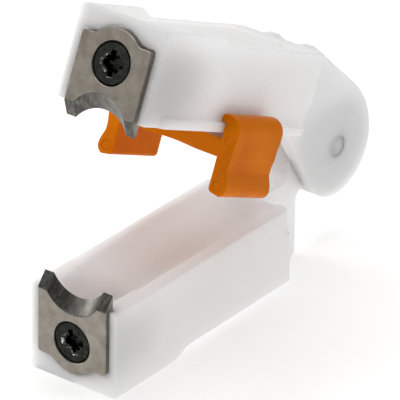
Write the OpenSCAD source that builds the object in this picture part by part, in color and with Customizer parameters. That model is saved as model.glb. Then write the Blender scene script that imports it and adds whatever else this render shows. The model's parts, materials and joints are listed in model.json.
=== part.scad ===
// Clamshell pipe cutter: two hinged jaws, each with a notched blade on its nose,
// and a spring clip that slides along the upper jaw's flanges as a length stop.
// Jaw frame: x across, y back from the nose, z out from the parting face.

/* [Jaws] */
// Width of a jaw's body
jaw_w = 24.2; // [22:0.1:25]
// Length of a jaw from its nose to its rear wall
jaw_l = 64.8; // [60:0.2:70]
// Height of the foot pad at the nose, above the parting face
pad_h = 21.6; // [20.5:0.1:23]
// Height of the grip behind the pad
grip_h = 19.5; // [18:0.1:20]
// Length of the foot pad
pad_l = 21.2; // [18:0.1:24]
// Length of the S-shaped step from the pad down to the grip
step_l = 6.2; // [4:0.1:8]
// Height of the slimmer stretch along the parting face
waist_h = 6.4; // [4:0.1:8]
// How far that stretch is set in on each side
waist_inset = 0.3; // [0.1:0.1:0.6]
// Gap between the parting faces when the jaws are shut
shut_gap = 7.2; // [7:0.1:9]
// Angle between the jaws as stored, open
open_angle = 23.6; // [10:0.1:40]

/* [Flange] */
// Width over the upper jaw's two flanges
flange_w = 26.8; // [26:0.1:28]
// Height of a flange
flange_h = 2.2; // [1.8:0.1:2.6]
// Distance from the nose to the front end of a flange
flange_front = 5; // [4:0.5:10]
// Distance from the rear wall to the rear end of a flange
flange_rear_gap = 2; // [1:0.5:4]

/* [Pipe groove] */
// Radius of the half-round pipe groove at the nose
groove_r = 8.4; // [7:0.1:9]
// Length of the groove's narrow stretch behind the blade
groove_lip_l = 12; // [8:0.5:16]
// Extra radius of the groove behind that stretch
groove_relief = 0.7; // [0.3:0.1:1.5]

/* [Hinge] */
// Distance from the nose to the hinge axis
hinge_from_nose = 90.2; // [86:0.2:96]
// Radius of the hinge knuckle
knuckle_r = 12.4; // [11:0.1:13]
// Width of the lower jaw's tang
tang_w = 7; // [6:0.2:8]
// Width over the upper jaw's two ears
ears_w = 13.4; // [12:0.2:16]
// Diameter of the hinge pin
pin_d = 5; // [4:0.1:6]
// Side play between the tang and each ear
ear_play = 0.08; // [0.05:0.01:0.2]
// Radial running clearance of the pin in the tang
pin_play = 0.05; // [0.02:0.01:0.1]

/* [Blades] */
// Width of a blade
blade_w = 19.2; // [18:0.1:20]
// Thickness of a blade
blade_t = 2.6; // [2:0.1:3.2]
// How far a blade stands proud of the nose
blade_proud = 0.6; // [0.3:0.1:1]
// Distance from the parting face to a blade's lower corners
blade_h = 16.2; // [15.5:0.1:17]
// Radius of the round lobe below the screw
lobe_r = 7.9; // [7.5:0.1:8.2]
// Radius of the pipe notch
notch_r = 8.4; // [8:0.1:8.8]
// Depth of the notch in a blade's front face
notch_depth = 3.8; // [3:0.1:4.4]
// Rise of the cutting bevel from the front face to the rear face
bevel_rise = 3.4; // [2.6:0.1:3.5]

/* [Blade screws] */
// Distance from the parting face to the screw axis
screw_z = 10.9; // [10.5:0.1:11.4]
// Nominal thread diameter
screw_d = 5; // [4:1:5]
// Diameter of the countersunk head
head_d = 9.5; // [9:0.1:10]
// Height of the head's cylindrical rim
head_rim = 0.5; // [0.3:0.1:0.8]
// Length of the screw under the head's top face
screw_l = 14; // [12:1:18]
// Outer diameter of the brass thread insert
insert_d = 7; // [6.4:0.1:8]
// Length of the insert
insert_l = 9; // [6:0.5:10]

/* [Length stop] */
// Distance from the nose to the clip's front face
stop_y = 29.2; // [12:0.1:40]
// Length of the clip along the jaw
stop_l = 18.1; // [16:0.1:22]
// Sliding clearance of the clip on the flange
stop_play = 0.1; // [0.05:0.05:0.3]
// Thickness of the clip's cross web
web_t = 4.2; // [3.5:0.1:4.6]
// Gap between the parting face and the cross web
web_gap = 1.2; // [0.8:0.1:1.4]
// How far the web's front and rear edges are hollowed at the middle
web_hollow = 1.8; // [0.5:0.1:3]

/* [Hidden] */

$fn = 64;
eps = 0.01;
over = 1;                                  // how far a cut runs on past the face it opens

edge_r = 0.7;                              // rounding of the jaws' long outer edges
nose_r = 0.4;                              // rounding of the jaws' upright edges
waist_front = 14;                          // front end of the slimmer stretch, from the nose
waist_rear = jaw_l - 0.8;                  // its rear end
pad_mid = pad_l / 2;                       // the foot pad's middle, the part's origin
hinge_y = hinge_from_nose - pad_mid;
hinge_z = pad_h + shut_gap / 2;
tang_back = 78.4;                          // rear face of the tang's stem, from the nose
tang_front = 74.6;                         // front face of the stem above the parting face
flange_top_r = 0.8;                        // rounding of a flange's edge at the parting face
pocket_play = 0.5;                         // gap round a blade in its seat
pocket_d = blade_t - blade_proud;
groove_axis = -shut_gap / 2;               // the pipe's axis lies midway between the jaws
notch_axis = notch_depth - notch_r;
cone_l = (head_d - screw_d) / 2;           // 90 degree countersink
insert_y = pocket_d + 1.2;                 // front end of the insert, from the nose
tab_drop = 13.9;                           // reach of the tabs past the parting face
stop_x = flange_w / 2 + stop_play;         // inner face of the tabs
mark_d = 2.6;                              // ejector marks on the clip's front face
mark_depth = 0.15;

// Points of an arc about (cx, cy) from angle a0 to a1
function arc(cx, cy, r, a0, a1, n = 12) =
    [for (i = [0 : n]) let (a = a0 + (a1 - a0) * i / n) [cx + r * cos(a), cy + r * sin(a)]];

// Jaw frame to the part's frame
module in_lower() {
    translate([0, -pad_mid, pad_h]) mirror([0, 0, 1]) children();
}
module in_upper() {
    translate([0, hinge_y, hinge_z]) rotate([-open_angle, 0, 0])
        translate([0, -hinge_from_nose, shut_gap / 2]) children();
}

// Points of a curve from a to c that leaves and arrives along the lines to b
function bend(a, b, c, n = 8) =
    [for (i = [0 : n]) let (t = i / n) pow(1 - t, 2) * a + 2 * t * (1 - t) * b + t * t * c];

// Stand a profile drawn in y and z up, with its width across x
module across(w) {
    rotate([90, 0, 90]) translate([0, 0, -w / 2]) linear_extrude(w) children();
}
// Run a profile drawn in x and z back along y
module along(y0, y1) {
    translate([0, y1, 0]) rotate([90, 0, 0]) linear_extrude(y1 - y0) children();
}

// ---- jaws ----

module body_section(h) {
    half = jaw_w / 2;
    polygon(concat([[-half, 0], [half, 0]],
        arc(half - edge_r, h - edge_r, edge_r, 0, 90, 8),
        arc(-half + edge_r, h - edge_r, edge_r, 90, 180, 8)));
}

module body_plan() {
    half = jaw_w / 2;
    polygon(concat(
        arc(half - nose_r, nose_r, nose_r, -90, 0, 6),
        arc(half - nose_r, jaw_l - nose_r, nose_r, 0, 90, 6),
        arc(-half + nose_r, jaw_l - nose_r, nose_r, 90, 180, 6),
        arc(-half + nose_r, nose_r, nose_r, 180, 270, 6)));
}

// Side view of the foot pad, which falls to the grip in an S curve
module pad_side() {
    drop = pad_h - grip_h;
    steps = 12;
    polygon(concat([[0, 0]],
        arc(edge_r, pad_h - edge_r, edge_r, 180, 90, 6),
        [for (i = [0 : steps]) let (u = i / steps)
            [pad_l + step_l * u, pad_h - drop * (1 - cos(180 * u)) / 2]],
        [[pad_l + step_l, 0]]));
}

module grip_side() {
    polygon(concat([[pad_l, 0], [pad_l, grip_h]],
        arc(jaw_l - edge_r, grip_h - edge_r, edge_r, 90, 0, 6), [[jaw_l, 0]]));
}

// What is cut away around the slimmer stretch along the parting face
module waist_cut() {
    half = jaw_w / 2 - waist_inset;
    corner = 1;
    translate([0, 0, -over]) linear_extrude(waist_h + over) difference() {
        translate([-jaw_w, waist_front]) square([2 * jaw_w, jaw_l]);
        polygon(concat([[-half, 0], [half, 0]],
            arc(half - corner, waist_rear - corner, corner, 0, 90, 4),
            arc(-half + corner, waist_rear - corner, corner, 90, 180, 4)));
    }
}

module jaw_body() {
    difference() {
        union() {
            intersection() {
                along(0, pad_l + step_l) body_section(pad_h);
                across(jaw_w) pad_side();
                linear_extrude(pad_h) body_plan();
            }
            intersection() {
                along(pad_l, jaw_l) body_section(grip_h);
                across(jaw_w) grip_side();
                linear_extrude(grip_h) body_plan();
            }
        }
        waist_cut();
    }
}

module flange_section() {
    half = flange_w / 2;
    polygon(concat(
        arc(-half + flange_top_r, flange_top_r, flange_top_r, 180, 270, 6),
        arc(half - flange_top_r, flange_top_r, flange_top_r, 270, 360, 6),
        [[half, flange_h], [-half, flange_h]]));
}

module flange() {
    lead = (flange_w - jaw_w) / 2 + nose_r;    // length of the sloping front ends
    half = flange_w / 2;
    rear = jaw_l - flange_rear_gap;
    intersection() {
        along(flange_front, rear) flange_section();
        linear_extrude(flange_h) polygon([
            [-half + lead, flange_front], [half - lead, flange_front],
            [half, flange_front + lead], [half, rear - lead / 2], [half - lead / 2, rear],
            [-half + lead / 2, rear], [-half, rear - lead / 2], [-half, flange_front + lead]]);
    }
}

module pipe_groove() {
    module channel(r, y0, y1) {
        translate([0, y0, groove_axis]) rotate([-90, 0, 0]) cylinder(r = r, h = y1 - y0, $fn = 96);
    }
    channel(groove_r, -over, groove_lip_l + over);
    channel(groove_r + groove_relief, groove_lip_l, jaw_l + over);
}

// Seat for the blade, with the insert's hole and the screw's way behind it
module nose_seat() {
    way_play = 0.6;
    way_l = screw_l + 2;
    along(-over, pocket_d) blade_outline(pocket_play);
    translate([0, -over, screw_z]) rotate([-90, 0, 0])
        cylinder(d = insert_d, h = insert_y + insert_l + over);
    translate([0, 0, screw_z]) rotate([-90, 0, 0]) cylinder(d = screw_d + way_play, h = way_l);
}

module jaw_blank(flanged) {
    difference() {
        union() {
            jaw_body();
            if (flanged) flange();
        }
        pipe_groove();
        nose_seat();
    }
}

// ---- hinge ----

// Lower jaw's stem and knuckle, drawn as depth from the nose and height over its parting face.
// The stem's heel reaches as low as the foot pad, so that the jaw stands level.
module tang_side() {
    hinge_up = shut_gap / 2;
    root_y = jaw_l - 1.5;
    heel_front = jaw_l + 2;
    heel_ramp = 4;
    heel_r = 2;
    fillet_r = 1.8;
    fillet_y = tang_back + fillet_r;
    reach = knuckle_r + fillet_r;
    fillet_z = hinge_up - sqrt(pow(reach, 2) - pow(hinge_from_nose - fillet_y, 2));
    touch = atan2(hinge_up - fillet_z, hinge_from_nose - fillet_y);
    shoulder_r = 6;
    shoulder_z = hinge_up + knuckle_r - shoulder_r;
    crotch = 1.5;
    polygon(concat(
        [[root_y, -grip_h], [heel_front, -grip_h]],
        [[heel_front + heel_ramp, -pad_h]],
        arc(tang_back - heel_r, -pad_h + heel_r, heel_r, -90, 0, 6),
        arc(fillet_y, fillet_z, fillet_r, 180, touch, 6),
        arc(hinge_from_nose, hinge_up, knuckle_r, touch - 180, 90, 40),
        arc(tang_front + shoulder_r, shoulder_z, shoulder_r, 90, 180, 8),
        [[tang_front, crotch], [tang_front - crotch, 0], [root_y, 0]]));
}

// One ear of the upper jaw, drawn from the hinge axis: a straight ridge from the rear wall,
// a crown that bends over into the round knuckle, and a straight root
module ear_side() {
    rear_wall = jaw_l - hinge_from_nose;
    top = grip_h + shut_gap / 2;
    buried = 3;                            // how far an ear runs on inside the body
    brow = 0.6;                            // the ear's top starts this far inside the wall
    brow_y = 4;                            // and meets the ridge here, a little over the grip
    brow_up = 0.2;
    ridge_z = knuckle_r + 3;               // the ridge's height over the axis, and its slope
    slope = 20.5;
    ridge_end = -1;
    crown_end = 22;                        // angle at which the crown meets the knuckle
    crown_l = 8.2;                         // length of the crown's line from there to its corner
    crown_step = 3;
    function ridge(y) = [y, ridge_z - y * tan(slope)];
    meets = knuckle_r * [cos(crown_end), sin(crown_end)];
    corner = meets + crown_l * [-sin(crown_end), cos(crown_end)];
    root_up = 1.2;                         // the ears' roots start this far over the parting face
    root_z = root_up + shut_gap / 2;
    root_buried = 2;
    root_y = waist_rear - hinge_from_nose - root_buried;
    span = norm([root_y, root_z]);
    tangent = 180 - atan2(root_z, -root_y) + acos(knuckle_r / span);
    polygon(concat(
        [[rear_wall - buried, top - edge_r], [rear_wall - brow, top - brow / 4]],
        [[rear_wall + brow_y, top + brow_up]],
        bend(ridge(ridge_end), corner, meets),
        arc(0, 0, knuckle_r, crown_end - crown_step, tangent - 360, 46),
        [[root_y, root_z], [rear_wall - buried, root_z]]));
}

module ears() {
    ear_t = (ears_w - tang_w) / 2 - ear_play;
    translate([0, hinge_from_nose, -shut_gap / 2])
        for (side = [-1, 1]) translate([side * (ears_w - ear_t) / 2, 0, 0]) across(ear_t) ear_side();
}

// The thin wall that closes the lower groove's rear end on either side of the stem's root.
module end_wall() {
    wall_t = 1.5;
    sunk = 0.3;                            // its edge lies this far under the parting face
    half = groove_r + over;
    translate([-half, waist_rear - wall_t, sunk]) cube([2 * half, wall_t, waist_h - sunk]);
}

module lower_jaw() color([0.87, 0.86, 0.86]) {
    difference() {
        union() {
            in_lower() {
                jaw_blank(false);
                end_wall();
            }
            translate([0, -pad_mid, pad_h]) across(tang_w) tang_side();
        }
        translate([0, hinge_y, hinge_z]) rotate([0, 90, 0])
            cylinder(d = pin_d + 2 * pin_play, h = tang_w + 2 * over, center = true);
    }
}

// The shallow tray in the upper jaw's outer face, inside a thin rim
module outer_tray() {
    rim = 1.2;
    rear = jaw_l - 4;
    front_depth = 1.8;                     // under the pad's top, to stay over the blade's seat
    depth = 0.9;                           // under the grip's top
    step_y = 6;                            // where the one floor drops to the other
    width = jaw_w - 2 * rim;
    for (cut = [[rim, pad_h - front_depth], [step_y, grip_h - depth]])
        translate([-width / 2, cut[0], cut[1]]) cube([width, rear - cut[0], pad_h]);
}

module upper_jaw() color([0.87, 0.86, 0.86]) in_upper() {
    difference() {
        union() {
            difference() {
                jaw_blank(true);
                outer_tray();
            }
            ears();
        }
        translate([0, hinge_from_nose, -shut_gap / 2]) rotate([0, 90, 0])
            cylinder(d = pin_d, h = ears_w + 2 * over, center = true);
    }
}

module hinge_pin() color([0.9, 0.9, 0.89]) {
    sunk = 0.1;
    translate([0, hinge_y, hinge_z]) rotate([0, 90, 0])
        cylinder(d = pin_d, h = ears_w - 2 * sunk, center = true);
}

// ---- blades ----

// Front view of a blade without its notch: square shoulders and a round lobe under the screw
module blade_outline(grow = 0) {
    half = blade_w / 2 + grow;
    low = blade_h + grow;
    r = lobe_r + grow;
    corner = 0.9;
    blend = 2.5;
    blend_z = low + blend;
    blend_x = sqrt(pow(r + blend, 2) - pow(blend_z - screw_z, 2));
    turn = atan2(blend_z - screw_z, blend_x);
    polygon(concat(
        [[-half, -bevel_rise - over], [half, -bevel_rise - over]],
        arc(half - corner, low - corner, corner, 0, 90, 5),
        arc(blend_x, blend_z, blend, 270, 180 + turn, 6),
        arc(0, screw_z, r, turn, 180 - turn, 16),
        arc(-blend_x, blend_z, blend, -turn, -90, 6),
        arc(-half + corner, low - corner, corner, 90, 180, 5)));
}

// The bevel slopes from the front face to a cutting edge at the rear face, which reaches
// further past the parting face, so the notch is an oval cylinder that leans with it
module bevel_cut() {
    slope = bevel_rise / blade_t;
    lean = atan(slope);
    back = blade_t + over;
    deep = -3 * bevel_rise;
    axis_l = 8 * blade_t;
    step = 7.5;
    across(blade_w + 2 * over) polygon([[-over, over * slope], [-over, deep], [back, deep],
        [back, -back * slope]]);
    translate([0, 0, notch_axis]) rotate([90 - lean, 0, 0]) linear_extrude(axis_l, center = true)
        polygon([for (a = [0 : step : 360 - step]) notch_r * [cos(a), cos(lean) * sin(a)]]);
}

module blade() {
    hole_play = 0.4;
    mouth_d = head_d + 0.7;
    mouth_l = head_rim + 0.3;
    translate([0, -blade_proud, 0]) difference() {
        along(0, blade_t) blade_outline();
        bevel_cut();
        translate([0, 0, screw_z]) rotate([-90, 0, 0]) {
            translate([0, 0, -over]) cylinder(d = screw_d + hole_play, h = blade_t + 2 * over);
            translate([0, 0, -over]) cylinder(d = mouth_d, h = mouth_l + over);
            translate([0, 0, mouth_l - eps])
                cylinder(d1 = mouth_d, d2 = screw_d + hole_play, h = cone_l);
        }
    }
}

module lower_blade() color([0.58, 0.56, 0.54]) in_lower() blade();
module upper_blade() color([0.58, 0.56, 0.54]) in_upper() blade();

// ---- screws and inserts ----

// Cross recess with a second, shallower cross between its wings, and four ticks round it
module drive_recess() {
    wing = [6, 1.5];
    wing_depth = 1.5;
    hub_w = 3.2;
    second = [4.8, 1.2];
    second_depth = 0.9;
    tick = [0.9, 0.22];
    tick_depth = 0.12;
    tick_r = 3.3;
    module cut(depth) {
        translate([0, 0, -over]) linear_extrude(over + depth) children();
    }
    module cross(size) {
        square(size, center = true);
        rotate(90) square(size, center = true);
    }
    cut(wing_depth) {
        cross(wing);
        square(hub_w, center = true);
    }
    cut(second_depth) rotate(45) cross(second);
    cut(tick_depth) for (a = [45 : 90 : 315]) rotate(a) translate([tick_r, 0])
        square(tick, center = true);
}

module blade_screw() {
    sunk = 0.25;
    shank_d = screw_d - 0.1;
    translate([0, -blade_proud + sunk, screw_z]) rotate([-90, 0, 0]) difference() {
        union() {
            cylinder(d = head_d, h = head_rim);
            translate([0, 0, head_rim - eps]) cylinder(d1 = head_d, d2 = shank_d, h = cone_l);
            cylinder(d = shank_d, h = screw_l);
        }
        drive_recess();
    }
}

module lower_blade_screw() color([0.12, 0.12, 0.12]) in_lower() blade_screw();
module upper_blade_screw() color([0.12, 0.12, 0.12]) in_upper() blade_screw();

module thread_insert() {
    translate([0, insert_y, screw_z]) rotate([-90, 0, 0]) difference() {
        cylinder(d = insert_d, h = insert_l);
        translate([0, 0, -over]) cylinder(d = screw_d, h = insert_l + 2 * over);
    }
}

module lower_thread_insert() color([0.75, 0.6, 0.3]) in_lower() thread_insert();
module upper_thread_insert() color([0.75, 0.6, 0.3]) in_upper() thread_insert();

// ---- length stop ----

// One tab with its hook; x runs out from the inner face, z out from the parting face
module tab_section() {
    under = flange_h + stop_play;
    hook_in = 1.25;                        // the hook's reach in over the flange
    nose = [-0.2, under + 1];              // centre and radius of its rounded nose
    hook_r = 1.1;
    hook_tip = [[0, under], [0.05 - hook_in, under + 0.15], [-hook_in, under + 0.6]];
    back = [0.6, under - 1.4];             // centre and radius of its rounded back
    back_r = 3.6;
    neck = [[4.15, -0.9], [3.9, -2.6]];    // where the back runs out into the finger hollow
    hollow = [14.6, -7.6];                 // centre and radius of the finger hollow
    hollow_r = 11.1;
    heel = [4.4, -10.6];                   // its lower end
    toe_r = 2.1;                           // the tab's rounded lower end, outside and inside
    toe_out = 2.5;
    toe_in_r = 1.1;
    toe_in_up = 1.5;
    polygon(concat(
        hook_tip,
        arc(nose[0], nose[1], hook_r, 160, 90, 4),
        arc(back[0], back[1], back_r, 86, 8, 12),
        neck,
        arc(hollow[0], hollow[1], hollow_r, 165, 184, 8),
        [heel],
        arc(toe_out, -tab_drop + toe_r, toe_r, 0, -75, 6),
        arc(toe_in_r, -tab_drop + toe_in_up, toe_in_r, -90, -180, 5)));
}

module web_plan() {
    half = stop_x + over;
    steps = 12;
    hollow_half = 9;
    function hollow(x) =
        abs(x) < hollow_half ? web_hollow * (1 + cos(180 * x / hollow_half)) / 2 : 0;
    xs = [for (i = [0 : steps]) -half + 2 * half * i / steps];
    polygon(concat(
        [for (x = xs) [x, stop_y + hollow(x)]],
        [for (i = [steps : -1 : 0]) [xs[i], stop_y + stop_l - hollow(xs[i])]]));
}

module tab() {
    rear = stop_y + stop_l;
    difference() {
        translate([stop_x, 0, 0]) along(stop_y, rear) tab_section();
        for (mark = [[2.3, -1.3], [2.2, -11.6]])
            translate([stop_x + mark[0], stop_y - over, mark[1]]) rotate([-90, 0, 0])
                cylinder(d = mark_d, h = over + mark_depth);
    }
}

module length_stop() color([0.85, 0.43, 0.08]) in_upper() {
    tab();
    mirror([1, 0, 0]) tab();
    translate([0, 0, -web_gap - web_t]) linear_extrude(web_t) web_plan();
}

lower_jaw();
upper_jaw();
lower_blade();
upper_blade();
lower_blade_screw();
upper_blade_screw();
lower_thread_insert();
upper_thread_insert();
hinge_pin();
length_stop();
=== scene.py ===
"""A conduit pipe cutter: two milky plastic jaws on a hinge, a notched steel blade screwed to each
nose, and an orange spring clip that slides along the upper jaw as a length stop.

Each piece is drawn in a jaw's own frame, in millimetres: x across, y back from the nose, z out
from the parting face. IN_LOWER or IN_UPPER takes it into the part's frame, in metres."""
import json
import math

import bmesh
import bpy
from mathutils import Matrix, Vector


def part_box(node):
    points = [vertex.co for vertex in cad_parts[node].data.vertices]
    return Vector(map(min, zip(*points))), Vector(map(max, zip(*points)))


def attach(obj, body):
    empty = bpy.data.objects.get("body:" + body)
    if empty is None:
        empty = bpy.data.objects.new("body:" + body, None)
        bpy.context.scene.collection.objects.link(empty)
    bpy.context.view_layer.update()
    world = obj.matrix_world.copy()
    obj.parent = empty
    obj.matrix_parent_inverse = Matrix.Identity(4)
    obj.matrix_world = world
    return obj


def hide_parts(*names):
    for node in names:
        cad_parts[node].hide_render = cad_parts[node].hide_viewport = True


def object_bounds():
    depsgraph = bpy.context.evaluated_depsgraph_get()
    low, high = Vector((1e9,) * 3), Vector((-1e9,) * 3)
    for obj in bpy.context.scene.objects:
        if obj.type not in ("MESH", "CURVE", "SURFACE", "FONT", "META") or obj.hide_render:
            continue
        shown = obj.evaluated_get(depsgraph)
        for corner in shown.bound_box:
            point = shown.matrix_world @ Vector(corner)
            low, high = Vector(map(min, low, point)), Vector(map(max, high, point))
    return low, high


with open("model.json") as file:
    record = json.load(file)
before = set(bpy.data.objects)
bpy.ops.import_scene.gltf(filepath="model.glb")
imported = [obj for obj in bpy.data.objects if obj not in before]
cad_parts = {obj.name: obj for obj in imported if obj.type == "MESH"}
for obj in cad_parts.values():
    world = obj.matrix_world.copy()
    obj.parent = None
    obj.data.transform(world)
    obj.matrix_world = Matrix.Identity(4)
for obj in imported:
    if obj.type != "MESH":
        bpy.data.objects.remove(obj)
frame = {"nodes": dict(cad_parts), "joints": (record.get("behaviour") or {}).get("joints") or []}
cad_low, cad_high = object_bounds()

MM = 0.001


def node_size(node):
    """Width, depth and height of a CAD node in millimetres."""
    low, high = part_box(node)
    return (high - low) / MM


def joint(name):
    """The frame's joint of that name."""
    return next(j for j in frame["joints"] if j["name"] == name)


# ---- sizes in millimetres ----

HINGE = Vector(joint("jaw_hinge")["pos_m"]) / MM
OPEN_ANGLE = -math.radians(joint("jaw_hinge")["range_deg"][0])
NOSE_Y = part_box("lower_jaw")[0].y / MM
SHUT_GAP = 7.2
PARTING_Z = HINGE.z - SHUT_GAP / 2
HINGE_FROM_NOSE = HINGE.y - NOSE_Y

# Jaws: a tall foot pad at the nose, and behind a step the lower grip.
JAW_HALF = node_size("lower_jaw").x / 2
JAW_L = 64.8
PAD_H = PARTING_Z
GRIP_H = 19.5
PAD_L = 21.2
STEP_L = 6.2
EDGE_R = 0.7
NOSE_R = 0.4
PARTING_R = 0.3
HINGE_RIM = 0.45

# The rimmed tray in the upper jaw's outer face: PAD_TRAY_D below the pad's face as far as
# TRAY_STEP_Y, then GRIP_TRAY_D below the grip's.
TRAY_RIM = 1.2
TRAY_STEP_Y = 6
TRAY_REAR = JAW_L - 4
PAD_TRAY_D = 1.8
GRIP_TRAY_D = 0.9

# The waist: each side is inset up to WAIST_H, under a sloped edge.
WAIST_H = 6.4
WAIST_BELOW = 0.6
WAIST_ABOVE = 0.3
WAIST_INSET = 0.3
WAIST_FRONT = 14
WAIST_REAR = JAW_L - 0.8
WAIST_END_R = 1

# The upper jaw's flanges, which the clip runs on.
FLANGE_HALF = node_size("upper_jaw").x / 2
FLANGE_H = 2.2
FLANGE_FRONT = 5
FLANGE_REAR = JAW_L - 2
FLANGE_LEAD = 1.9
FLANGE_R = 0.6
FLANGE_BEVEL = 0.15

# The pipe groove: a close lip at the nose, then relieved.
GROOVE_R = 8.4
GROOVE_LIP_L = 12
GROOVE_RELIEF = 0.7
END_WALL_T = 1.5

# The hinge: the lower jaw's tang between the upper jaw's two ears.
KNUCKLE_R = 12.4
TANG_W = 7
EARS_W = node_size("hinge_pin").x + 0.2
EAR_PLAY = 0.08
PIN_D = node_size("hinge_pin").y
TANG_BACK = 78.4
TANG_FRONT = 74.6

# Blades: NOTCH_DEPTH is measured from the horns beside the notch.
BLADE_W = node_size("lower_blade").x
BLADE_T = node_size("lower_blade").y
BLADE_PROUD = NOSE_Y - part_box("lower_blade")[0].y / MM
BLADE_H = 16.2
LOBE_R = 7.9
NOTCH_R = 8.4
NOTCH_DEPTH = 3.8
BEVEL_RISE = 3.4
POCKET_PLAY = 0.5

# Screws: the recess is a cross of wings, with a second, smaller cross between them.
SCREW_Z = 10.9
SCREW_D = 4.9
HEAD_D = node_size("lower_blade_screw").x
HEAD_RIM = 0.5
HEAD_SUNK = 0.25
SCREW_L = node_size("lower_blade_screw").y
WING_L = 6.1
WING_W = 1.5
SECOND_L = 4.9
SECOND_W = 1.15
HUB_R = 1.75
RECESS_D = 2.4
TICK_IN = 3.18
TICK_OUT = 3.82
TICK_D = 0.12

# The length stop: two tabs that drop from the flanges, and a web across under the jaw.
STOP_Y = 29.2
STOP_L = 18.1
STOP_X = FLANGE_HALF + 0.1
WEB_T = 4.2
WEB_GAP = 1.2
WEB_HOLLOW = 1.8
TAB_DROP = 13.9

# ---- the jaws' places ----

# Both are proper rotations, since every piece is the same left and right.
IN_LOWER = (
    Matrix.Scale(MM, 4)
    @ Matrix.Translation((0, NOSE_Y, PARTING_Z))
    @ Matrix.Rotation(math.pi, 4, "Y")
)
IN_UPPER = (
    Matrix.Scale(MM, 4)
    @ Matrix.Translation(HINGE)
    @ Matrix.Rotation(-OPEN_ANGLE, 4, "X")
    @ Matrix.Translation((0, -HINGE_FROM_NOSE, SHUT_GAP / 2))
)

# ---- outlines ----


def arc(cx, cy, r, a0, a1, n=8):
    """Points of an arc about (cx, cy), its angles in degrees."""
    angles = [math.radians(a0 + (a1 - a0) * i / n) for i in range(n + 1)]
    return [Vector((cx + r * math.cos(a), cy + r * math.sin(a))) for a in angles]


def bend(a, b, c, n=10):
    """Points of a curve from a to c that leaves and arrives along the lines to b."""
    steps = [i / n for i in range(n + 1)]
    return [(1 - t) ** 2 * a + 2 * t * (1 - t) * b + t * t * c for t in steps]


def inset(outline, distance):
    """The outline, anticlockwise, moved inwards by distance with mitred corners."""
    moved = []
    for i, p in enumerate(outline):
        before = (p - outline[i - 1]).normalized()
        after = (outline[(i + 1) % len(outline)] - p).normalized()
        n0, n1 = Vector((-before.y, before.x)), Vector((-after.y, after.x))
        moved.append(p + (n0 + n1) * distance / (1 + n0.dot(n1)))
    return moved


def clean(outline):
    """The outline without points that repeat the one before."""
    return [p for i, p in enumerate(outline) if (p - outline[i - 1]).length > 1e-4]


def rim_steps(radius, n=4):
    """(how far in from the end, how much smaller) for each ring of a rounded rim."""
    turns = [math.pi / 2 * i / n for i in range(n + 1)]
    return [(radius * (1 - math.cos(t)), radius * (1 - math.sin(t))) for t in turns]


# ---- meshes ----


def new_piece(name, rings):
    """A closed piece through rings of points, with flat ends. Points that meet are merged."""
    count = len(rings[0])
    verts = [p for ring in rings for p in ring]
    faces = []
    for i in range(len(rings) - 1):
        a, b = i * count, (i + 1) * count
        faces += [(a + j, a + (j + 1) % count, b + (j + 1) % count, b + j) for j in range(count)]
    faces += [tuple(range(count)), tuple(range(len(verts) - count, len(verts)))]
    mesh = bpy.data.meshes.new(name)
    mesh.from_pydata(verts, [], faces)
    bm = bmesh.new()
    bm.from_mesh(mesh)
    bmesh.ops.remove_doubles(bm, verts=bm.verts, dist=1e-4)
    bmesh.ops.dissolve_degenerate(bm, edges=bm.edges, dist=1e-4)
    bmesh.ops.recalc_face_normals(bm, faces=bm.faces)
    bm.to_mesh(mesh)
    bm.free()
    piece = bpy.data.objects.new(name, mesh)
    bpy.context.scene.collection.objects.link(piece)
    return piece


def slab(name, outline, low, high, rim, lay):
    """An outline run from low to high with rounded rims. lay turns (u, v, t) into a point."""
    steps = rim_steps(rim)
    ends = [(low + far, less) for far, less in steps]
    ends += [(high - far, less) for far, less in reversed(steps)]
    rings = [[lay(p.x, p.y, t) for p in inset(outline, less)] for t, less in ends]
    return new_piece(name, rings)


def across(u, v, t):
    """Lays an outline drawn in y and z, run along x."""
    return (t, u, v)


def along(u, v, t):
    """Lays an outline drawn in x and z, run along y."""
    return (u, t, v)


def outward(u, v, t):
    """Lays an outline drawn in x and y, run along z."""
    return (u, v, t)


def lathe(name, profile, centre, axis="Y", n=96):
    """A turned piece. Its profile is (distance along the axis, radius) from front to back."""
    rings = []
    for far, radius in profile:
        ring = arc(0, 0, max(radius, 1e-3), 0, 360 - 360 / n, n - 1)
        rings.append([(p.x, far, p.y) if axis == "Y" else (far, p.x, p.y) for p in ring])
    piece = new_piece(name, rings)
    piece.data.transform(Matrix.Translation(centre))
    return piece


def bake(piece):
    """Applies a piece's modifiers."""
    bpy.context.view_layer.update()
    shown = piece.evaluated_get(bpy.context.evaluated_depsgraph_get())
    mesh = bpy.data.meshes.new_from_object(shown)
    piece.modifiers.clear()
    piece.data = mesh


def combine(piece, operation, tools):
    """Joins the tools to a piece, or cuts them away, and removes them."""
    for tool in tools:
        step = piece.modifiers.new("combine", "BOOLEAN")
        step.operation, step.solver, step.object = operation, "EXACT", tool
    bake(piece)
    for tool in tools:
        bpy.data.objects.remove(tool)


def finish_piece(piece, place, body, materials, replaces, sharp=28):
    """Takes a piece to its place, shades it and ties it to the frame."""
    piece.data.transform(place)
    for polygon in piece.data.polygons:
        polygon.use_smooth = True
    piece.data.set_sharp_from_angle(angle=math.radians(sharp))
    normals = piece.modifiers.new("even normals", "WEIGHTED_NORMAL")
    normals.keep_sharp = True
    held = piece.data.materials
    for i, material in enumerate(materials):
        if i < len(held):
            held[i] = material
        else:
            held.append(material)
    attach(piece, body)
    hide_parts(*replaces)


# ---- materials ----


def plug(tree, socket, value):
    """Links a node's output to a socket, or sets the socket's value."""
    if isinstance(value, bpy.types.NodeSocket):
        tree.links.new(value, socket)
    else:
        socket.default_value = value


def add(tree, kind, inputs=None, **settings):
    """A new node with its settings made and its inputs set or linked."""
    made = tree.nodes.new(kind)
    for name, value in settings.items():
        setattr(made, name, value)
    for name, value in (inputs or {}).items():
        plug(tree, made.inputs[name], value)
    return made


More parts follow.
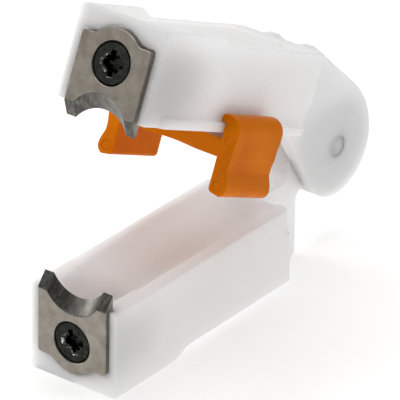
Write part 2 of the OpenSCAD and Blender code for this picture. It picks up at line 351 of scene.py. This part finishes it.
def new_material(name, place=None):
    """A material, its tree and coordinates in metres: the piece's own, or if a place is given,
    those of the jaw frame that it places."""
    material = bpy.data.materials.new(name)
    material.use_nodes = True
    tree = material.node_tree
    where = add(tree, "ShaderNodeTexCoord").outputs["Object"]
    if place:
        spot, turn = place.to_translation(), place.to_euler()
        sides = {"Vector": where, "Location": spot, "Rotation": turn}
        where = add(tree, "ShaderNodeMapping", sides, vector_type="TEXTURE").outputs[0]
    return material, tree, where


def set_shader(tree, inputs):
    """Sets or links inputs of the tree's Principled shader."""
    for name, value in inputs.items():
        plug(tree, tree.nodes["Principled BSDF"].inputs[name], value)


def noise(tree, where, scale, detail=3.0, roughness=0.5, stretch=(1, 1, 1)):
    """Noise from 0 to 1; scale is in waves a metre."""
    stretched = add(tree, "ShaderNodeMapping", {"Vector": where, "Scale": stretch}).outputs[0]
    made = add(
        tree,
        "ShaderNodeTexNoise",
        {"Vector": stretched, "Scale": scale, "Detail": detail, "Roughness": roughness},
    )
    return made.outputs["Fac"]


def remap(tree, value, low, high, to_low, to_high, smooth=False):
    """The value moved from the range low to high into the range to_low to to_high."""
    kind = "SMOOTHSTEP" if smooth else "LINEAR"
    sides = {"Value": value, 1: low, 2: high, 3: to_low, 4: to_high}
    return add(tree, "ShaderNodeMapRange", sides, interpolation_type=kind).outputs[0]


def spread(tree, waves, low=0.3, high=0.7, to_low=0.0, to_high=1.0):
    """Noise stretched from the middle span that it mostly keeps to."""
    return remap(tree, waves, low, high, to_low, to_high)


def share(tree, value, most):
    """A value from 0 to 1 taken down to reach only most."""
    return remap(tree, value, 0, 1, 0, most)


def mix(tree, amount, a, b, kind="MIX"):
    """Colour a with b mixed into it, or multiplied, by amount."""
    sides = {0: amount, 6: a, 7: b}
    return add(tree, "ShaderNodeMix", sides, data_type="RGBA", blend_type=kind).outputs[2]


def even_colour(tree, level):
    """A grey whose level is a node's output."""
    return add(tree, "ShaderNodeCombineColor", {0: level, 1: level, 2: level}).outputs[0]


def bump(tree, height, strength, distance):
    """The normal of a surface with fine relief, up to distance in metres."""
    sides = {"Height": height, "Strength": strength, "Distance": distance}
    return add(tree, "ShaderNodeBump", sides).outputs["Normal"]


def milky_plastic(name, place, shade, reach):
    """Milky plastic: light scatters through it. A painted shade darkens its colour round the nose:
    partly the steel inside seen through it, partly shade that the light leaves there. It is full
    within core millimetres of the nose's middle and gone by reach."""
    dull, clear = (0.92, 0.908, 0.905, 1), (0.95, 0.935, 0.933, 1)
    shaded = (0.34, 0.325, 0.31, 1)
    material, tree, where = new_material(name, place)
    middle, core = (0, 6 * MM, 8 * MM), 6
    squashed = {"Vector": where, "Scale": (0.68, 1, 1.1)}
    flat = add(tree, "ShaderNodeMapping", squashed).outputs[0]
    far = add(tree, "ShaderNodeVectorMath", {0: flat, 1: middle}, operation="DISTANCE")
    # Painted shade: the colour darkens towards the nose's middle.
    steel_and_painted_shade = remap(tree, far.outputs["Value"], core * MM, reach * MM, shade, 0.0, smooth=True)
    clouds = spread(tree, noise(tree, where, 55, 2.0))
    fine = spread(tree, noise(tree, where, 1400, 2.0), to_low=0.985)
    body = mix(tree, steel_and_painted_shade, mix(tree, clouds, dull, clear), shaded)
    shader = {
        "Base Color": mix(tree, 1.0, body, even_colour(tree, fine), "MULTIPLY"),
        "Subsurface Weight": 1.0,
        "Subsurface Radius": (1.0, 0.98, 0.97),
        "Subsurface Scale": 9 * MM,
        "IOR": 1.5,
        "Specular IOR Level": 0.42,
        "Roughness": spread(tree, noise(tree, where, 160, 3.0), to_low=0.42, to_high=0.54),
        "Normal": bump(tree, noise(tree, where, 2600, 2.0), 0.12, 0.02 * MM),
    }
    set_shader(tree, shader)
    return material


def orange_plastic():
    """Orange moulded plastic, faintly see-through at its thin edges, with a stippled skin."""
    deep, light = (0.66, 0.15, 0.0, 1), (0.78, 0.205, 0.0, 1)
    material, tree, where = new_material("orange_plastic")
    clouds = spread(tree, noise(tree, where, 120, 3.0))
    shader = {
        "Base Color": mix(tree, clouds, deep, light),
        "Subsurface Weight": 0.2,
        "Subsurface Radius": (1.0, 0.35, 0.08),
        "Subsurface Scale": 1.5 * MM,
        "IOR": 1.45,
        "Specular IOR Level": 0.05,
        "Roughness": spread(tree, noise(tree, where, 900, 3.0), to_low=0.26, to_high=0.4),
        "Normal": bump(tree, noise(tree, where, 1900, 2.0), 0.5, 0.06 * MM),
    }
    set_shader(tree, shader)
    return material


def metal(tree, colour, roughness, relief):
    """Makes the tree's shader a metal's. relief is (height, strength, distance) for its bump."""
    normal = bump(tree, *relief)
    shader = {"Base Color": colour, "Metallic": 1.0, "Roughness": roughness, "Normal": normal}
    set_shader(tree, shader)


def blade_steel():
    """The blades' flat faces: satin ground steel with soft brownish stains and fine grain."""
    bare, stained = (0.36, 0.325, 0.275, 1), (0.18, 0.152, 0.12, 1)
    light_grain, dark_line = (0.36, 0.335, 0.295, 1), (0.23, 0.215, 0.2, 1)
    material, tree, where = new_material("blade_steel")
    stains = spread(tree, noise(tree, where, 330, 4.0, 0.6), low=0.35)
    grain = spread(tree, noise(tree, where, 2600, 4.0, 0.7))
    lines = spread(tree, noise(tree, where, 900, 3.0, 0.6, (1, 1, 6)))
    body = mix(tree, stains, bare, stained)
    body = mix(tree, share(tree, grain, 0.55), body, light_grain)
    body = mix(tree, share(tree, lines, 0.35), body, dark_line)
    metal(tree, body, remap(tree, grain, 0, 1, 0.34, 0.5), (grain, 0.25, 0.03 * MM))
    return material


def ground_bevel():
    """The blades' cutting bevels: dark with grinding marks, with a painted highlight on one side.
    """
    black, ground = (0.03, 0.03, 0.026, 1), (0.25, 0.245, 0.22, 1)
    patch = (0.07, 0.07, 0.062, 1)
    highlight_dim, highlight_bright = (0.15, 0.145, 0.13, 1), (0.34, 0.325, 0.29, 1)
    # A painted highlight: a brighter patch on one side of the notch's middle, fading out around
    # it.
    highlight_x, highlight_full, highlight_end = 2.5 * MM, 1 * MM, 5.5 * MM
    material, tree, where = new_material("ground_bevel")
    x = add(tree, "ShaderNodeSeparateXYZ", {0: where}).outputs["X"]
    off = add(tree, "ShaderNodeMath", {0: x, 1: highlight_x}, operation="SUBTRACT").outputs[0]
    off = add(tree, "ShaderNodeMath", {0: off}, operation="ABSOLUTE").outputs[0]
    wear_and_painted_highlight = remap(tree, off, highlight_full, highlight_end, 0.75, 0.0, smooth=True)
    marks = spread(tree, noise(tree, where, 1500, 5.0, 0.75, (1, 0.35, 0.35)), low=0.32)
    patches = spread(tree, noise(tree, where, 420, 3.0, 0.6), 0.35, 0.65)
    body = mix(tree, share(tree, patches, 0.75), mix(tree, marks, black, ground), patch)
    body = mix(tree, wear_and_painted_highlight, body, mix(tree, patches, highlight_dim, highlight_bright))
    metal(tree, body, remap(tree, marks, 0, 1, 0.3, 0.5), (marks, 0.4, 0.04 * MM))
    return material


def black_screw():
    """Black oxide on steel, a little oily, with worn grey showing through on the high spots."""
    black, grey = (0.018, 0.019, 0.016, 1), (0.045, 0.047, 0.04, 1)
    material, tree, where = new_material("black_oxide")
    wear_and_painted_highlight = spread(tree, noise(tree, where, 900, 3.0, 0.6), 0.45, 0.8)
    roughness = remap(tree, wear_and_painted_highlight, 0, 1, 0.2, 0.36)
    metal(tree, mix(tree, wear_and_painted_highlight, black, grey), roughness, (wear_and_painted_highlight, 0.2, 0.02 * MM))
    return material


def worn_steel():
    """The screws' recess, where the driver has worn the black away to bright steel."""
    black, bright = (0.02, 0.02, 0.02, 1), (0.7, 0.7, 0.68, 1)
    material, tree, where = new_material("worn_steel")
    rubbed = spread(tree, noise(tree, where, 1500, 3.0), 0.35, 0.65)
    metal(tree, mix(tree, rubbed, black, bright), 0.16, (rubbed, 0.2, 0.02 * MM))
    return material


def turned_brass():
    """The thread inserts' turned brass."""
    dark, light = (0.60, 0.38, 0.13, 1), (0.80, 0.56, 0.24, 1)
    material, tree, where = new_material("turned_brass")
    rings = noise(tree, where, 900, 2.0, 0.5, (0.1, 5, 0.1))
    metal(tree, mix(tree, rings, dark, light), 0.32, (rings, 0.3, 0.05 * MM))
    return material


# Each jaw's painted shade round its nose: the upper jaw's is darker and reaches further.
MILKY_LOWER = milky_plastic("milky_plastic_lower", IN_LOWER, 0.27, 16)
MILKY_UPPER = milky_plastic("milky_plastic_upper", IN_UPPER, 0.48, 22)
ORANGE = orange_plastic()
STEEL = blade_steel()
BEVEL = ground_bevel()
BLACK = black_screw()
WORN = worn_steel()
BRASS = turned_brass()

# ---- jaws ----


def blade_outline(grow=0.0):
    """Front view of a blade's sides and lobe, from its right edge round to its left."""
    corner, blend = 0.9, 2.5
    half, low, r = BLADE_W / 2 + grow, BLADE_H + grow, LOBE_R + grow
    blend_z = low + blend
    blend_x = math.sqrt((r + blend) ** 2 - (blend_z - SCREW_Z) ** 2)
    turn = math.degrees(math.atan2(blend_z - SCREW_Z, blend_x))
    return clean(
        arc(half - corner, low - corner, corner, 0, 90, 6)
        + arc(blend_x, blend_z, blend, 270, 180 + turn, 8)
        + arc(0, SCREW_Z, r, turn, 180 - turn, 28)
        + arc(-blend_x, blend_z, blend, -turn, -90, 8)
        + arc(-half + corner, low - corner, corner, 90, 180, 6)
    )


def seat_outline():
    """The blade's seat over the parting face, with points all the way up its straight sides."""
    outline = blade_outline(POCKET_PLAY)
    half, rise = outline[0]
    steps = 10
    side = [Vector((half, rise * i / steps)) for i in range(steps)]
    return side + outline + [Vector((-p.x, p.y)) for p in reversed(side)]


SEAT = seat_outline()
POCKET_D = BLADE_T - BLADE_PROUD


def groove_outline(radius):
    """The half-round groove, at the seat outline's own angles about the parting face's middle.
    Its circle is about the pipe's middle, half the gap below that face. It opens by lip there."""
    deep = SHUT_GAP / 2
    lip = 0.2
    points = []
    for p in SEAT:
        a = math.atan2(p.y, p.x)
        r = math.sqrt(radius**2 - (deep * math.cos(a)) ** 2) - deep * math.sin(a)
        r += lip if p.y < 1e-6 else 0
        points.append(Vector((r * math.cos(a), max(r * math.sin(a), 0))))
    return points


def jaw_section(y, inner, less=0.0, floor=0.0, flange=0.0):
    """One ring of the jaw's body at y: outside from right to left, then back along inner. less
    makes it smaller all round, and the hollow slightly wider. Nothing is lower than floor."""
    top = PAD_H - less
    if y > PAD_L:
        fall = min((y - PAD_L) / STEP_L, 1)
        top -= (PAD_H - GRIP_H) * (1 - math.cos(math.pi * fall)) / 2
    half = JAW_HALF - less
    waist = half
    if y > WAIST_FRONT:
        waist -= WAIST_INSET
    into_end = y - WAIST_REAR + WAIST_END_R
    if 0 < into_end <= WAIST_END_R:
        waist -= WAIST_END_R - math.sqrt(max(WAIST_END_R**2 - into_end**2, 0))
    lip = max(waist, flange)
    round_r = PARTING_R if flange <= waist else FLANGE_R
    side = arc(lip - round_r, round_r + less, round_r, -90, 0, 4)
    side += [Vector((lip, FLANGE_H - FLANGE_BEVEL))]
    side += [Vector((max(lip - FLANGE_BEVEL, waist), FLANGE_H)), Vector((waist, FLANGE_H))]
    side += [Vector((waist, WAIST_H - WAIST_BELOW)), Vector((half, WAIST_H + WAIST_ABOVE))]
    side += arc(half - EDGE_R, top - EDGE_R, EDGE_R, 0, 90, 6)
    ring = side + [Vector((-p.x, p.y)) for p in reversed(side)]
    ring += [Vector((p.x * (1 + less / 25), p.y + less / 3)) for p in reversed(inner)]
    return [(p.x, y, max(p.y, floor)) for p in ring]


def jaw_body(name, flanged):
    """A jaw without its hinge: seat, groove, waist, stepped foot pad and, if flanged, flanges."""
    narrow, wide = groove_outline(GROOVE_R), groove_outline(GROOVE_R + GROOVE_RELIEF)
    full = FLANGE_HALF if flanged else 0.0
    start = FLANGE_HALF - FLANGE_LEAD if flanged else 0.0
    lead_in = FLANGE_FRONT + JAW_HALF - FLANGE_HALF + FLANGE_LEAD
    relief_step, waist_step, wall_step = 0.2, 0.1, 0.02
    step_rings, end_rings = 14, 6
    stations = [
        (POCKET_D, SEAT, 0.0),
        (POCKET_D, narrow, 0.0),
        (lead_in, narrow, start),
        (FLANGE_FRONT + FLANGE_LEAD, narrow, full),
        (GROOVE_LIP_L, narrow, full),
        (GROOVE_LIP_L + relief_step, wide, full),
        (WAIST_FRONT, wide, full),
        (WAIST_FRONT + waist_step, wide, full),
    ]
    for i in range(step_rings + 1):
        stations.append((PAD_L + STEP_L * i / step_rings, wide, full))
    stations += [
        (FLANGE_REAR - FLANGE_LEAD / 2, wide, full),
        (FLANGE_REAR, wide, full - FLANGE_LEAD / 2),
        (FLANGE_REAR, wide, 0.0),
    ]
    for i in range(end_rings + 1):
        into_end = WAIST_END_R * math.sin(math.pi / 2 * i / end_rings)
        stations.append((WAIST_REAR - WAIST_END_R + into_end, wide, 0.0))
    rings = [jaw_section(far, SEAT, less) for far, less in rim_steps(NOSE_R, 5)]
    rings += [jaw_section(y, inner, flange=flange) for y, inner, flange in stations]
    rings.append(jaw_section(WAIST_REAR + wall_step, wide, floor=WAIST_H))
    rings += [
        jaw_section(JAW_L - far, wide, less, floor=WAIST_H + less)
        for far, less in reversed(rim_steps(NOSE_R, 5))
    ]
    return new_piece(name, rings)


def tang_outline():
    """Side view of the lower jaw's stem, heel and knuckle."""
    hinge_up = SHUT_GAP / 2
    root_y, heel_front = JAW_L - 1.5, JAW_L + 2
    heel_ramp, heel_r, fillet_r, shoulder_r, crotch = 4, 2, 1.8, 6, 1.5
    fillet_y = TANG_BACK + fillet_r
    reach = KNUCKLE_R + fillet_r
    fillet_z = hinge_up - math.sqrt(reach**2 - (HINGE_FROM_NOSE - fillet_y) ** 2)
    touch = math.degrees(math.atan2(hinge_up - fillet_z, HINGE_FROM_NOSE - fillet_y))
    sunk = 0.03
    drawn = [Vector((root_y, sunk - GRIP_H)), Vector((heel_front, sunk - GRIP_H))]
    drawn += [Vector((heel_front + heel_ramp, -PAD_H))]
    drawn += arc(TANG_BACK - heel_r, -PAD_H + heel_r, heel_r, -90, 0, 8)
    drawn += arc(fillet_y, fillet_z, fillet_r, 180, touch, 8)
    drawn += arc(HINGE_FROM_NOSE, hinge_up, KNUCKLE_R, touch - 180, 90, 56)
    shoulder_z = hinge_up + KNUCKLE_R - shoulder_r
    drawn += arc(TANG_FRONT + shoulder_r, shoulder_z, shoulder_r, 90, 180, 10)
    drawn += [Vector((TANG_FRONT, crotch)), Vector((TANG_FRONT - crotch, 0)), Vector((root_y, 0))]
    return clean([Vector((p.x, -p.y)) for p in reversed(drawn)])


def ear_outline():
    """Side view of one of the upper jaw's ears: ridge, crown, knuckle and straight root."""
    rear_wall, top = JAW_L - HINGE_FROM_NOSE, GRIP_H + SHUT_GAP / 2
    sunk, ridge_l, ridge_up = 3, 4, 0.2
    ridge_z, slope, crown_end, reach = KNUCKLE_R + 3, math.radians(20.5), 22, 8.2
    turned = math.radians(crown_end)
    end = KNUCKLE_R * Vector((math.cos(turned), math.sin(turned)))
    corner = end + reach * Vector((-math.sin(turned), math.cos(turned)))
    root_z, root_y = 1.2 + SHUT_GAP / 2, WAIST_REAR - HINGE_FROM_NOSE - 2
    span = math.hypot(root_y, root_z)
    tangent = 180 - math.degrees(math.atan2(root_z, -root_y) - math.acos(KNUCKLE_R / span))
    drawn = [Vector((rear_wall - sunk, top - 1)), Vector((rear_wall - 0.6, top - 0.3))]
    drawn += [Vector((rear_wall + ridge_l, top + ridge_up))]
    drawn += bend(Vector((-1, ridge_z + math.tan(slope))), corner, end, 12)
    drawn += arc(0, 0, KNUCKLE_R, crown_end - 3, tangent - 360, 60)
    drawn += [Vector((root_y, root_z)), Vector((rear_wall - sunk, root_z))]
    moved = [p + Vector((HINGE_FROM_NOSE, -SHUT_GAP / 2)) for p in drawn]
    return clean(list(reversed(moved)))


def pin_hole(radius):
    """A drill for the pin, with a fine chamfer at each ear's face."""
    half, chamfer, over = EARS_W / 2, 0.05, 1
    mouth = [(-half - over, radius + over + chamfer), (-half + chamfer, radius)]
    profile = mouth + [(-far, r) for far, r in reversed(mouth)]
    return lathe("drill", profile, (0, HINGE_FROM_NOSE, -SHUT_GAP / 2), "X")


def screw_way():
    """A drill for the thread insert's hole and the screw's way behind it."""
    insert = node_size("lower_thread_insert")
    end = POCKET_D + 1.2 + insert.y
    way_r = SCREW_D / 2 + 0.35
    profile = [(POCKET_D - 0.5, insert.x / 2), (end, insert.x / 2), (end, way_r), (end + 4, way_r)]
    return lathe("drill", profile, (0, 0, SCREW_Z), n=48)


def rectangle(half, low, high):
    """A rectangle's corners, anticlockwise, the same to each side of the middle."""
    return [Vector(p) for p in ((-half, low), (half, low), (half, high), (-half, high))]


def make_lower_jaw():
    """The lower jaw: a plain body, a tang in the middle and a wall that closes the groove."""
    lower = jaw_body("lower_jaw_shell", False)
    tang = slab("tang", tang_outline(), -TANG_W / 2, TANG_W / 2, HINGE_RIM, across)
    face = rectangle(GROOVE_R + 1, 0.3, 6)
    wall = slab("end_wall", face, WAIST_REAR - END_WALL_T, WAIST_REAR - 0.05, 0.25, along)
    combine(lower, "UNION", [tang, wall])
    combine(lower, "DIFFERENCE", [pin_hole(PIN_D / 2 + 0.05), screw_way()])
    finish_piece(lower, IN_LOWER, "lower", [MILKY_LOWER], ["lower_jaw"])


def make_upper_jaw():
    """The upper jaw: a flanged body with a rimmed tray in its outer face, and two ears."""
    upper = jaw_body("upper_jaw_shell", True)
    ear_t = (EARS_W - TANG_W) / 2 - EAR_PLAY
    ears = []
    for side in (-1, 1):
        ends = sorted((side * EARS_W / 2, side * (EARS_W / 2 - ear_t)))
        ears.append(slab("ear", ear_outline(), *ends, HINGE_RIM, across))
    trays = []
    for front, floor in ((TRAY_RIM, PAD_H - PAD_TRAY_D), (TRAY_STEP_Y, GRIP_H - GRIP_TRAY_D)):
        plan = rectangle(JAW_HALF - TRAY_RIM, front, TRAY_REAR)
        trays.append(slab("tray", plan, floor, PAD_H + 2, 0.3, outward))
    combine(upper, "DIFFERENCE", trays)
    combine(upper, "UNION", ears)
    combine(upper, "DIFFERENCE", [pin_hole(PIN_D / 2), screw_way()])
    finish_piece(upper, IN_UPPER, "upper", [MILKY_UPPER], ["upper_jaw"])


def make_hinge_pin():
    """The hinge pin, its ends slightly domed."""
    half, dome = node_size("hinge_pin").x / 2, 0.06
    ends = [(-half, 0.6), (-half + dome / 3, 1.5), (-half + dome, PIN_D / 2 - 0.12)]
    ends += [(-half + 0.18, PIN_D / 2 - 0.01)]
    profile = ends + [(-far, radius) for far, radius in reversed(ends)]
    pin = lathe("hinge_pin_shaft", profile, (0, HINGE_FROM_NOSE, -SHUT_GAP / 2), "X")
    finish_piece(pin, IN_UPPER, "upper", [MILKY_UPPER], ["hinge_pin"])


# ---- blades ----


def make_blade(name, place, body, node):
    """A blade: a flat plate whose notch and horns lean back to a cutting edge at its rear face."""
    slope = BEVEL_RISE / BLADE_T
    middle = NOTCH_DEPTH - NOTCH_R
    horn_x = math.sqrt(NOTCH_R**2 - middle**2)
    turn = math.degrees(math.asin(-middle / NOTCH_R))
    sides = blade_outline()
    notch = arc(0, 0, NOTCH_R, 180 - turn, turn, 40)

    def outline(depth):
        up = -slope * depth
        half = BLADE_W / 2
        top = [Vector((-half, up)), Vector((-horn_x, up))]
        top += [Vector((p.x, p.y + middle + up)) for p in notch[1:-1]]
        top += [Vector((horn_x, up)), Vector((half, up))]
        return sides + top

    front_edge, rear_edge = 0.14, 0.04
    rings = []
    for depth, less in (
        (0, front_edge),
        (front_edge, 0),
        (BLADE_T - rear_edge, 0),
        (BLADE_T, rear_edge),
    ):
        rings.append([(p.x, depth, p.y) for p in inset(outline(depth), less)])
    blade = new_piece(name, rings)
    blade.data.materials.append(STEEL)
    blade.data.materials.append(BEVEL)
    for face in blade.data.polygons:
        facing = face.normal
        # The bevels face the pipe and the front; the blade's sides are left out.
        if facing.z < -0.2 and facing.y < -0.3 and abs(facing.x) < 0.95:
            face.material_index = 1
    mouth, through, chamfer = HEAD_D / 2 + 0.35, SCREW_D / 2 + 0.25, 0.15
    straight, over = HEAD_RIM + 0.3, 1
    profile = [(-over, mouth + over + chamfer), (chamfer, mouth), (straight, mouth)]
    profile += [(straight + mouth - through, through), (BLADE_T + over, through)]
    hole = lathe("countersink", profile, (0, 0, SCREW_Z))
    hole.data.materials.append(STEEL)
    combine(blade, "DIFFERENCE", [hole])
    blade.data.transform(Matrix.Translation((0, -BLADE_PROUD, 0)))
    finish_piece(blade, place, body, [STEEL, BEVEL], [node], 24)


# ---- screws ----


def recess_radius(angle, shrink):
    """How far the recess's cross, and the smaller cross between its wings, reach at an angle in
    degrees. shrink draws both in, as they narrow towards the recess's floor."""
    wing = (0, WING_L - shrink, WING_W - 0.3 * shrink)
    second = (45, SECOND_L - shrink, SECOND_W - 0.2 * shrink)
    best = HUB_R - 0.3 * shrink
    for turn, length, width in (wing, second):
        for quarter in range(4):
            off = math.radians(angle - turn - 90 * quarter)
            c, s = math.cos(off), abs(math.sin(off))
            if c > 0:
                best = max(best, min(length / 2 / c, width / 2 / max(s, 1e-6)))
    return best


def make_screw(name, place, body, node, turn):
    """A countersunk screw with a cross recess, a smaller cross between its wings, and four ticks.
    turn is how far the cross is turned, in degrees."""
    n = 240
    angles = [360 * i / n for i in range(n)]

    def ring(far, radius):
        found = [radius(a) if callable(radius) else radius for a in angles]
        level = [far(a) if callable(far) else far for a in angles]
        spun = [math.radians(a + turn) for a in angles]
        return [(r * math.cos(s), f, r * math.sin(s)) for r, f, s in zip(found, level, spun)]

    def ticks(angle):
        """Ticks on the diagonals, each 4.6 degrees wide."""
        return TICK_D if abs(angle % 90 - 45) < 2.3 else 0.0

    rings = [ring(RECESS_D, 0.05)]
    for depth, shrink in ((RECESS_D - 0.2, 1.9), (0.9, 0.7), (0.12, 0.1)):
        rings.append(ring(depth, lambda a: recess_radius(a, shrink)))
    rings.append(ring(0.0, lambda a: recess_radius(a, 0.0) + 0.08))
    rings += [ring(0.0, TICK_IN - 0.02), ring(ticks, TICK_IN)]
    rings += [ring(ticks, TICK_OUT), ring(0.0, TICK_OUT + 0.02)]
    rim, dip, head, shank = 0.16, 0.04, HEAD_D / 2, SCREW_D / 2
    profile = [(0.0, head - 0.55), (dip, head - 0.5), (dip, head - rim), (dip + rim, head)]
    profile += [(HEAD_RIM, head), (HEAD_RIM + head - shank, shank)]
    profile += [(SCREW_L - 0.6, shank), (SCREW_L, shank - 0.6), (SCREW_L, 0.05)]
    rings += [ring(far, radius) for far, radius in profile]
    screw = new_piece(name, rings)
    screw.data.materials.append(BLACK)
    screw.data.materials.append(WORN)
    for face in screw.data.polygons:
        # The recess's walls are worn; its floor and the head's face aren't.
        spot = face.center
        if math.hypot(spot.x, spot.z) < HEAD_D / 3 and 0.01 < spot.y < 1.5:
            face.material_index = 1
    screw.data.transform(Matrix.Translation((0, -BLADE_PROUD + HEAD_SUNK, SCREW_Z)))
    finish_piece(screw, place, body, [BLACK, WORN], [node], 30)


# ---- length stop ----


def tab_outline():
    """Section through one squeeze tab and its hook; x runs out from the tab's inner face."""
    under, hook_r, crown_r, rest_r, heel_r, toe_r = FLANGE_H + 0.1, 1.1, 3.6, 11.1, 2.1, 1.1
    lip = [Vector((0, under)), Vector((-1.2, under + 0.15)), Vector((-1.25, under + 0.6))]
    hook = arc(-0.2, under + 1.0, hook_r, 160, 90, 5) + arc(0.6, under - 1.4, crown_r, 86, 8, 16)
    shoulder = [Vector((4.15, -0.9)), Vector((3.9, -2.6))]
    finger_rest = arc(14.6, -7.6, rest_r, 165, 184, 12)
    heel = [Vector((4.4, -10.6))] + arc(2.5, -TAB_DROP + heel_r, heel_r, 0, -75, 8)
    toe = arc(toe_r, -TAB_DROP + 1.5, toe_r, -90, -180, 6)
    drawn = lip + hook + shoulder + finger_rest + heel + toe
    return clean([Vector((p.x + STOP_X, p.y)) for p in reversed(drawn)])


def web_outline():
    """Plan of the cross web, hollowed at its middle front and rear."""
    half, steps, reach = STOP_X + 1, 28, 9

    def hollow(x):
        return WEB_HOLLOW * (1 + math.cos(math.pi * x / reach)) / 2 if abs(x) < reach else 0

    xs = [-half + 2 * half * i / steps for i in range(steps + 1)]
    front = [Vector((x, STOP_Y + hollow(x))) for x in xs]
    back = [Vector((x, STOP_Y + STOP_L - hollow(x))) for x in reversed(xs)]
    return front + back


def make_stop():
    """The clip: two squeeze tabs and the web between them, with ejector marks in its front."""
    rim, front, back = 0.3, STOP_Y, STOP_Y + STOP_L
    outline = tab_outline()
    mirrored = [Vector((-p.x, p.y)) for p in reversed(outline)]
    stop = slab("length_stop_clip", outline, front, back, rim, along)
    other = slab("other_tab", mirrored, front, back, rim, along)
    web = slab("web", web_outline(), -WEB_GAP - WEB_T, -WEB_GAP, rim, outward)
    combine(stop, "UNION", [other, web])
    deep, shallow, outer, inner = 0.12, 0.04, 1.3, 1.12
    mark = [(-1, outer), (deep, outer), (deep, inner), (shallow, inner - 0.07), (shallow, 0.05)]
    marks = []
    for side in (-1, 1):
        for out, z in ((2.3, -1.3), (2.2, -11.6)):
            marks.append(lathe("mark", mark, (side * (STOP_X + out), front, z), n=40))
    combine(stop, "DIFFERENCE", marks)
    finish_piece(stop, IN_UPPER, "stop", [ORANGE], ["length_stop"])


make_lower_jaw()
make_upper_jaw()
make_hinge_pin()
make_blade("lower_blade_plate", IN_LOWER, "lower", "lower_blade")
make_blade("upper_blade_plate", IN_UPPER, "upper", "upper_blade")
make_screw("lower_screw", IN_LOWER, "lower", "lower_blade_screw", 12)
make_screw("upper_screw", IN_UPPER, "upper", "upper_blade_screw", 4)
make_stop()
for insert in ("lower_thread_insert", "upper_thread_insert"):
    frame["nodes"][insert].data.materials.clear()
    frame["nodes"][insert].data.materials.append(BRASS)

# ---- floor, light and camera ----

WHITE = (1, 1, 1, 1)
MIDDLE = (cad_low + cad_high) / 2

# Name, place and diameter in metres, and power in watts.
LIGHTS = (
    ("top_softbox", (-0.2, 0.1, 0.9), 0.9, 4.0),
    ("left_card", (-0.55, -0.82, 0.24), 0.4, 0.45),
    ("right_softbox", (0.7, 0.5, 0.6), 0.6, 1.3),
    ("mouth_fill", (-0.85, -0.15, 0.4), 0.5, 2.7),
)


def make_floor():
    """A pale floor that glows faintly, so that it shows nearly white."""
    bpy.ops.mesh.primitive_plane_add(size=6, location=(0, 0, 0))
    floor = bpy.context.object
    floor.name = "floor"
    material, tree, where = new_material("pale_floor")
    tone = spread(tree, noise(tree, where, 3, 2.0), to_low=0.93, to_high=0.95)
    shader = {
        "Base Color": even_colour(tree, tone),
        "Emission Color": WHITE,
        "Emission Strength": 0.34,
        "Roughness": 0.9,
        "Specular IOR Level": 0.05,
    }
    set_shader(tree, shader)
    floor.data.materials.append(material)


def make_light():
    """Round area lights aimed at the part's middle, and a dim white world."""
    for name, place, size, power in LIGHTS:
        data = bpy.data.lights.new(name, "AREA")
        data.shape, data.size, data.energy = "DISK", size, power
        lamp = bpy.data.objects.new(name, data)
        lamp.location = place
        lamp.rotation_euler = (MIDDLE - Vector(place)).to_track_quat("-Z", "Y").to_euler()
        bpy.context.scene.collection.objects.link(lamp)
    world = bpy.data.worlds.new("studio")
    bpy.context.scene.world = world
    world.use_nodes = True
    sky = world.node_tree.nodes["Background"]
    sky.inputs["Color"].default_value = WHITE
    sky.inputs["Strength"].default_value = 0.27
    bpy.context.scene.view_settings.view_transform = "Standard"


def make_camera():
    """The photo's camera, as fitted to it. It looks at a point beside the part's middle."""
    azimuth, elevation, roll = math.radians(37.08), math.radians(28.28), math.radians(1.03)
    distance, lens = 1.080, 429.5
    aim_right, aim_up = -3.43 * MM, -14.9 * MM
    flat = math.cos(elevation)
    back = Vector((math.sin(azimuth) * flat, -math.cos(azimuth) * flat, math.sin(elevation)))
    level = Vector((math.cos(azimuth), math.sin(azimuth), 0))
    over = back.cross(level)
    right = math.cos(roll) * level + math.sin(roll) * over
    up = -math.sin(roll) * level + math.cos(roll) * over
    data = bpy.data.cameras.new("camera")
    data.lens, data.sensor_width = lens, 36
    data.clip_start, data.clip_end = 0.01, 20
    camera = bpy.data.objects.new("camera", data)
    bpy.context.scene.collection.objects.link(camera)
    place = MIDDLE + right * aim_right + up * aim_up + back * distance
    turn = Matrix((right, up, back)).transposed()
    camera.matrix_world = Matrix.Translation(place) @ turn.to_4x4()
    bpy.context.scene.camera = camera


make_floor()
make_light()
make_camera()
